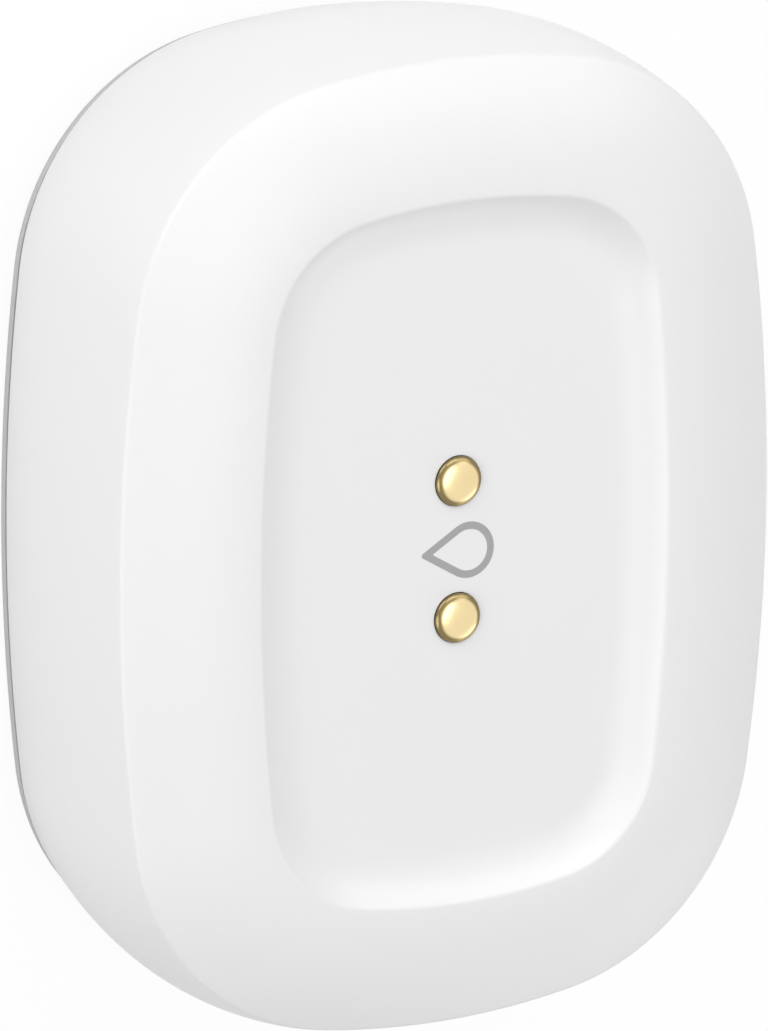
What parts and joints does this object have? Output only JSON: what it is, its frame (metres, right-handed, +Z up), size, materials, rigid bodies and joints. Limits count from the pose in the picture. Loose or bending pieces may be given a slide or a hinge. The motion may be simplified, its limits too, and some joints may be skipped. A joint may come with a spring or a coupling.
{
  "type": "water leak sensor",
  "caption": "Pebble-shaped battery leak sensor that lies flat, with a shallow drip dish, gold drip contacts and a drop sign on top and a snap-in base below.",
  "frame": {"origin": "on the floor under the middle of the sensor, at the bottom of the foot pads", "axes": "+Z up, out of the drip dish; Y along the long way; X along the short way, with the drop sign's tip towards -X"},
  "size_m": [0.0422, 0.0578, 0.0195],
  "materials": {
    "case_plastic": "fine satin, slightly rounded highlights",
    "base_plastic": "fine satin, a shade greyer than the case",
    "seal_rubber": "matt",
    "foot_rubber": "matt",
    "gold_plating": "polished gold plate",
    "icon_ink": "satin grey",
    "chassis_plastic": "fine satin",
    "screw_steel": "zinc plated",
    "board_laminate": "solder resist",
    "holder_plastic": "satin black",
    "cell_steel": "bright rolled",
    "spring_steel": "plated strip",
    "led_resin": "clear over phosphor",
    "clear_plastic": "clear moulding",
    "shield_tin": "tin plate",
    "chip_plastic": "moulding compound",
    "chip_ceramic": "matt",
    "button_plastic": "satin grey"
  },
  "bodies": {
    "base": {"base_cover": "base_plastic", "base_seal": "seal_rubber", "foot_pad_1": "foot_rubber", "foot_pad_2": "foot_rubber", "foot_pad_3": "foot_rubber", "foot_pad_4": "foot_rubber", "flood_contact_1": "gold_plating", "flood_contact_2": "gold_plating", "flood_seal_1": "seal_rubber", "flood_seal_2": "seal_rubber", "flood_clip_1": "spring_steel", "flood_clip_2": "spring_steel"},
    "sensor_body": {"upper_case": "case_plastic", "drop_icon": "icon_ink", "drip_contact_1": "gold_plating", "drip_contact_2": "gold_plating", "drip_seal_1": "seal_rubber", "drip_seal_2": "seal_rubber", "drip_clip_1": "spring_steel", "drip_clip_2": "spring_steel", "chassis": "chassis_plastic", "case_screw_1": "screw_steel", "case_screw_2": "screw_steel", "case_screw_3": "screw_steel", "case_screw_4": "screw_steel", "circuit_board": "board_laminate", "battery_holder": "holder_plastic", "coin_cell": "cell_steel", "battery_positive_clip": "spring_steel", "battery_negative_spring": "spring_steel", "drip_finger_1": "gold_plating", "drip_finger_2": "gold_plating", "flood_finger_1": "gold_plating", "flood_finger_2": "gold_plating", "switch_body": "chip_plastic", "status_led": "led_resin", "light_pipe": "clear_plastic", "radio_shield": "shield_tin", "microcontroller": "chip_plastic", "crystal": "shield_tin", "chip_antenna": "chip_ceramic", "temperature_sensor": "chip_plastic", "capacitors": "chip_ceramic", "resistors": "chip_plastic"},
    "connect_button": {"connect_button": "button_plastic", "switch_plunger": "button_plastic"}
  },
  "joints": [
    {"name": "body_lift", "type": "slide", "parent": "base", "child": "sensor_body", "axis": [0, 0, 1], "range_m": [0, 0.025]},
    {"name": "button_press", "type": "slide", "parent": "sensor_body", "child": "connect_button", "axis": [0, 0, 1], "range_m": [0, 0.0003], "stiffness_N_per_m": 1500}
  ]
}
